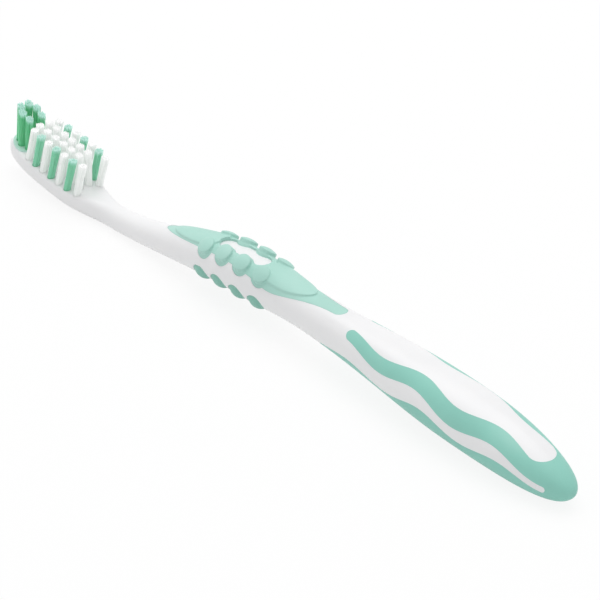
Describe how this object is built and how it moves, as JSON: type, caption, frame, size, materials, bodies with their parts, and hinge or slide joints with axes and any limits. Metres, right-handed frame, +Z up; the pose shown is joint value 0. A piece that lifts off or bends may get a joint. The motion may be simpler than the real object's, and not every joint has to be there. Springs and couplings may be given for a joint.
{
  "type": "manual toothbrush",
  "caption": "Adult manual toothbrush with a slim angled head of white and green bristle tufts, a thin neck, and a white handle with soft mint grips and wavy stripes.",
  "frame": {"origin": "middle of the bounding box's base, on the surface the brush lies on with its bristles up", "axes": "+X along the brush from the head to the butt, +Y to the right seen from the butt, +Z up, the way the bristles point"},
  "size_m": [0.19, 0.0153, 0.0192],
  "materials": {
    "white_handle": "glossy moulded polypropylene, white",
    "mint_grip": "soft satin elastomer, pale mint",
    "mint_handle_grip": "soft satin elastomer, mint",
    "mint_pad": "soft satin elastomer, pale mint",
    "white_filaments": "fine nylon filaments with rounded ends, white",
    "green_filaments": "fine nylon filaments with rounded ends, green",
    "anchor_brass": "plain stamped strip"
  },
  "bodies": {
    "root": {"finger_grip": "mint_grip", "handle_core": "white_handle", "handle_grip": "mint_handle_grip", "inner_tuft_left_1": "white_filaments", "inner_tuft_left_2": "white_filaments", "inner_tuft_left_3": "white_filaments", "inner_tuft_left_4": "white_filaments", "inner_tuft_left_5": "white_filaments", "inner_tuft_left_6": "white_filaments", "inner_tuft_right_1": "white_filaments", "inner_tuft_right_2": "white_filaments", "inner_tuft_right_3": "white_filaments", "inner_tuft_right_4": "white_filaments", "inner_tuft_right_5": "white_filaments", "inner_tuft_right_6": "white_filaments", "outer_tuft_left_1": "white_filaments", "outer_tuft_left_2": "green_filaments", "outer_tuft_left_3": "white_filaments", "outer_tuft_left_4": "green_filaments", "outer_tuft_left_5": "white_filaments", "outer_tuft_left_6": "green_filaments", "outer_tuft_left_7": "white_filaments", "outer_tuft_right_1": "white_filaments", "outer_tuft_right_2": "green_filaments", "outer_tuft_right_3": "white_filaments", "outer_tuft_right_4": "green_filaments", "outer_tuft_right_5": "white_filaments", "outer_tuft_right_6": "green_filaments", "outer_tuft_right_7": "white_filaments", "thumb_grip": "mint_grip", "tip_pad": "mint_pad", "tip_tuft_left_1": "green_filaments", "tip_tuft_left_2": "green_filaments", "tip_tuft_left_3": "green_filaments", "tip_tuft_right_1": "green_filaments", "tip_tuft_right_2": "green_filaments", "tip_tuft_right_3": "green_filaments", "tuft_anchors": "anchor_brass"}
  },
  "joints": []
}
